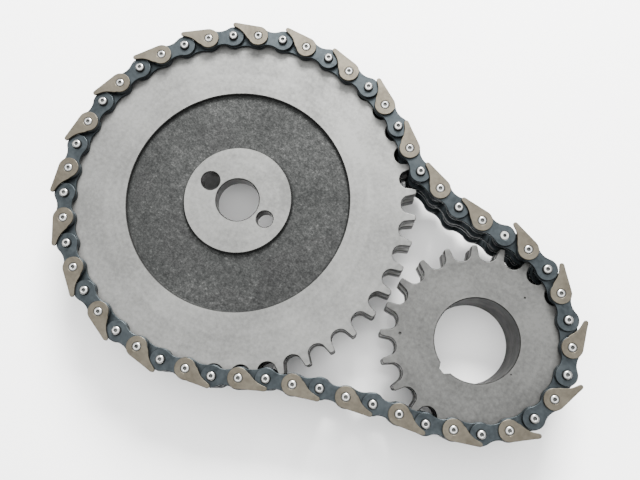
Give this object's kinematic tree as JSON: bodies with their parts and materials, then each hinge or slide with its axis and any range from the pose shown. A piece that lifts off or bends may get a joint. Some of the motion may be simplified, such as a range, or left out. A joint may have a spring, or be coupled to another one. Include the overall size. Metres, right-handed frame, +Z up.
{
  "type": "timing chain set",
  "caption": "Closed duplex roller chain with guide fins, slack on one side, lying round a large and a small two-row sprocket.",
  "frame": {"origin": "middle of the outline in plan, on the plane of both hubs' back faces", "axes": "+X from the large sprocket to the small one, +Z up along the sprocket axes towards the finned side of the chain"},
  "size_m": [0.2072, 0.1369, 0.0285],
  "materials": {
    "machined_steel": "turned, satin",
    "grey_steel": "turned, oiled",
    "dark_steel": "oiled, satin",
    "blued_steel": "blued, satin",
    "bronzed_steel": "tempered, satin",
    "bright_steel": "riveted, bright"
  },
  "bodies": {
    "cam_group": {"cam_sprocket": "machined_steel", "inner_link_26": "dark_steel", "outer_link_27": "blued_steel", "inner_link_27": "dark_steel", "outer_link_01": "blued_steel", "inner_link_01": "dark_steel", "outer_link_02": "blued_steel", "inner_link_02": "dark_steel", "outer_link_03": "blued_steel", "inner_link_03": "dark_steel", "outer_link_04": "blued_steel", "inner_link_04": "dark_steel", "outer_link_05": "blued_steel", "inner_link_05": "dark_steel", "outer_link_06": "blued_steel", "inner_link_06": "dark_steel", "outer_link_07": "blued_steel", "inner_link_07": "dark_steel", "outer_link_08": "blued_steel", "inner_link_08": "dark_steel", "outer_link_09": "blued_steel", "inner_link_09": "dark_steel", "outer_link_10": "blued_steel"},
    "outer_link_26_body": {"outer_link_26": "blued_steel"},
    "inner_link_25_body": {"inner_link_25": "dark_steel"},
    "outer_link_25_body": {"outer_link_25": "blued_steel"},
    "inner_link_24_body": {"inner_link_24": "dark_steel"},
    "outer_link_24_body": {"outer_link_24": "blued_steel"},
    "inner_link_23_body": {"inner_link_23": "dark_steel"},
    "outer_link_23_body": {"outer_link_23": "blued_steel"},
    "inner_link_22_body": {"inner_link_22": "dark_steel"},
    "joining_link": {"joining_link_front_plate": "blued_steel", "joining_link_back_plate": "blued_steel", "joining_link_fin": "bronzed_steel", "joining_link_pin": "bright_steel"},
    "inner_link_10_body": {"inner_link_10": "dark_steel"},
    "outer_link_11_body": {"outer_link_11": "blued_steel"},
    "inner_link_11_body": {"inner_link_11": "dark_steel"},
    "outer_link_12_body": {"outer_link_12": "blued_steel"},
    "inner_link_12_body": {"inner_link_12": "dark_steel"},
    "outer_link_13_body": {"outer_link_13": "blued_steel"},
    "inner_link_13_body": {"inner_link_13": "dark_steel"},
    "outer_link_14_body": {"outer_link_14": "blued_steel"},
    "inner_link_14_body": {"inner_link_14": "dark_steel"},
    "outer_link_15_body": {"outer_link_15": "blued_steel"},
    "inner_link_15_body": {"inner_link_15": "dark_steel"},
    "outer_link_16_body": {"outer_link_16": "blued_steel"},
    "inner_link_16_body": {"inner_link_16": "dark_steel"},
    "crank_group": {"crank_sprocket": "grey_steel", "outer_link_17": "blued_steel", "inner_link_17": "dark_steel", "outer_link_18": "blued_steel", "inner_link_18": "dark_steel"},
    "outer_link_19_body": {"outer_link_19": "blued_steel"},
    "inner_link_19_body": {"inner_link_19": "dark_steel"},
    "outer_link_20_body": {"outer_link_20": "blued_steel"},
    "inner_link_20_body": {"inner_link_20": "dark_steel"},
    "outer_link_21_body": {"outer_link_21": "blued_steel"},
    "inner_link_21_body": {"inner_link_21": "dark_steel", "opened_pivot_pin": "bright_steel"}
  },
  "joints": [
    {"name": "pivot_f26", "type": "hinge", "parent": "cam_group", "child": "outer_link_26_body", "pos_m": [-0.02432, 0.06298, 0.0164], "axis": [0, 0, 1], "range_deg": [0, 6]},
    {"name": "pivot_m25", "type": "hinge", "parent": "outer_link_26_body", "child": "inner_link_25_body", "pos_m": [-0.01492, 0.06143, 0.0164], "axis": [0, 0, 1], "range_deg": [0, 40.4]},
    {"name": "pivot_f25", "type": "hinge", "parent": "inner_link_25_body", "child": "outer_link_25_body", "pos_m": [-0.00595, 0.05822, 0.0164], "axis": [0, 0, 1], "range_deg": [0, 11.4]},
    {"name": "pivot_m24", "type": "hinge", "parent": "outer_link_25_body", "child": "inner_link_24_body", "pos_m": [0.00237, 0.05358, 0.0164], "axis": [0, 0, 1], "range_deg": [0, 34.8]},
    {"name": "pivot_f24", "type": "hinge", "parent": "inner_link_24_body", "child": "outer_link_24_body", "pos_m": [0.01028, 0.04827, 0.0164], "axis": [0, 0, 1], "range_deg": [0, 3.4]},
    {"name": "pivot_m23", "type": "hinge", "parent": "outer_link_24_body", "child": "inner_link_23_body", "pos_m": [0.01805, 0.04277, 0.0164], "axis": [0, 0, 1], "range_deg": [0, 7.7]},
    {"name": "pivot_f23", "type": "hinge", "parent": "inner_link_23_body", "child": "outer_link_23_body", "pos_m": [0.02733, 0.04064, 0.0164], "axis": [0, 0, 1], "range_deg": [0, 5.2]},
    {"name": "pivot_m22", "type": "hinge", "parent": "outer_link_23_body", "child": "inner_link_22_body", "pos_m": [0.03648, 0.03798, 0.0164], "axis": [0, 0, 1], "range_deg": [0, 14.6]},
    {"name": "pivot_f22", "type": "hinge", "parent": "inner_link_22_body", "child": "joining_link", "pos_m": [0.04601, 0.03785, 0.0164], "axis": [0, 0, 1], "range_deg": [0, 4]},
    {"name": "pivot_f10", "type": "hinge", "parent": "cam_group", "child": "inner_link_10_body", "pos_m": [-0.03601, -0.06359, 0.0164], "axis": [0, 0, -1], "range_deg": [0, 10.6]},
    {"name": "pivot_m10", "type": "hinge", "parent": "inner_link_10_body", "child": "outer_link_11_body", "pos_m": [-0.0265, -0.06304, 0.0164], "axis": [0, 0, -1], "range_deg": [0, 38.6]},
    {"name": "pivot_f11", "type": "hinge", "parent": "outer_link_11_body", "child": "inner_link_11_body", "pos_m": [-0.01718, -0.06108, 0.0164], "axis": [0, 0, -1], "range_deg": [0, 5.4]},
    {"name": "pivot_m11", "type": "hinge", "parent": "inner_link_11_body", "child": "outer_link_12_body", "pos_m": [-0.00799, -0.05858, 0.0164], "axis": [0, 0, -1], "range_deg": [0, 41.6]},
    {"name": "pivot_f12", "type": "hinge", "parent": "outer_link_12_body", "child": "inner_link_12_body", "pos_m": [0.00051, -0.05428, 0.0164], "axis": [0, 0, -1], "range_deg": [0, 4.5]},
    {"name": "pivot_m12", "type": "hinge", "parent": "inner_link_12_body", "child": "outer_link_13_body", "pos_m": [0.00881, -0.04961, 0.0164], "axis": [0, 0, -1], "range_deg": [0, 20]},
    {"name": "pivot_f13", "type": "hinge", "parent": "outer_link_13_body", "child": "inner_link_13_body", "pos_m": [0.0178, -0.04645, 0.0164], "axis": [0, 0, -1], "range_deg": [0, 5.8]},
    {"name": "pivot_m13", "type": "hinge", "parent": "inner_link_13_body", "child": "outer_link_14_body", "pos_m": [0.02656, -0.04272, 0.0164], "axis": [0, 0, -1], "range_deg": [0, 20.2]},
    {"name": "pivot_f14", "type": "hinge", "parent": "outer_link_14_body", "child": "inner_link_14_body", "pos_m": [0.03583, -0.04052, 0.0164], "axis": [0, 0, -1], "range_deg": [0, 5.2]},
    {"name": "pivot_m14", "type": "hinge", "parent": "inner_link_14_body", "child": "outer_link_15_body", "pos_m": [0.04496, -0.03782, 0.0164], "axis": [0, 0, -1], "range_deg": [0, 24.3]},
    {"name": "pivot_f15", "type": "hinge", "parent": "outer_link_15_body", "child": "inner_link_15_body", "pos_m": [0.05432, -0.03605, 0.0164], "axis": [0, 0, -1], "range_deg": [0, 2.2]},
    {"name": "pivot_m15", "type": "hinge", "parent": "inner_link_15_body", "child": "outer_link_16_body", "pos_m": [0.06367, -0.03424, 0.0164], "axis": [0, 0, -1], "range_deg": [0, 39]},
    {"name": "pivot_f16", "type": "hinge", "parent": "outer_link_16_body", "child": "inner_link_16_body", "pos_m": [0.07262, -0.03098, 0.0164], "axis": [0, 0, -1], "range_deg": [0, 3.7]},
    {"name": "pivot_m16", "type": "hinge", "parent": "inner_link_16_body", "child": "crank_group", "pos_m": [0.08147, -0.02746, 0.0164], "axis": [0, 0, -1], "range_deg": [0, 47.1]},
    {"name": "pivot_m18", "type": "hinge", "parent": "crank_group", "child": "outer_link_19_body", "pos_m": [0.09693, 0.00505, 0.0164], "axis": [0, 0, -1], "range_deg": [0, 47.1]},
    {"name": "pivot_f19", "type": "hinge", "parent": "outer_link_19_body", "child": "inner_link_19_body", "pos_m": [0.09408, 0.01414, 0.0164], "axis": [0, 0, -1], "range_deg": [0, 19.1]},
    {"name": "pivot_m19", "type": "hinge", "parent": "inner_link_19_body", "child": "outer_link_20_body", "pos_m": [0.08867, 0.02198, 0.0164], "axis": [0, 0, -1], "range_deg": [0, 39.1]},
    {"name": "pivot_f20", "type": "hinge", "parent": "outer_link_20_body", "child": "inner_link_20_body", "pos_m": [0.0821, 0.02887, 0.0164], "axis": [0, 0, -1], "range_deg": [0, 15]},
    {"name": "pivot_m20", "type": "hinge", "parent": "inner_link_20_body", "child": "outer_link_21_body", "pos_m": [0.07413, 0.0341, 0.0164], "axis": [0, 0, -1], "range_deg": [0, 46.1]},
    {"name": "pivot_f21", "type": "hinge", "parent": "outer_link_21_body", "child": "inner_link_21_body", "pos_m": [0.06503, 0.03691, 0.0164], "axis": [0, 0, -1], "range_deg": [0, 16.3]}
  ]
}
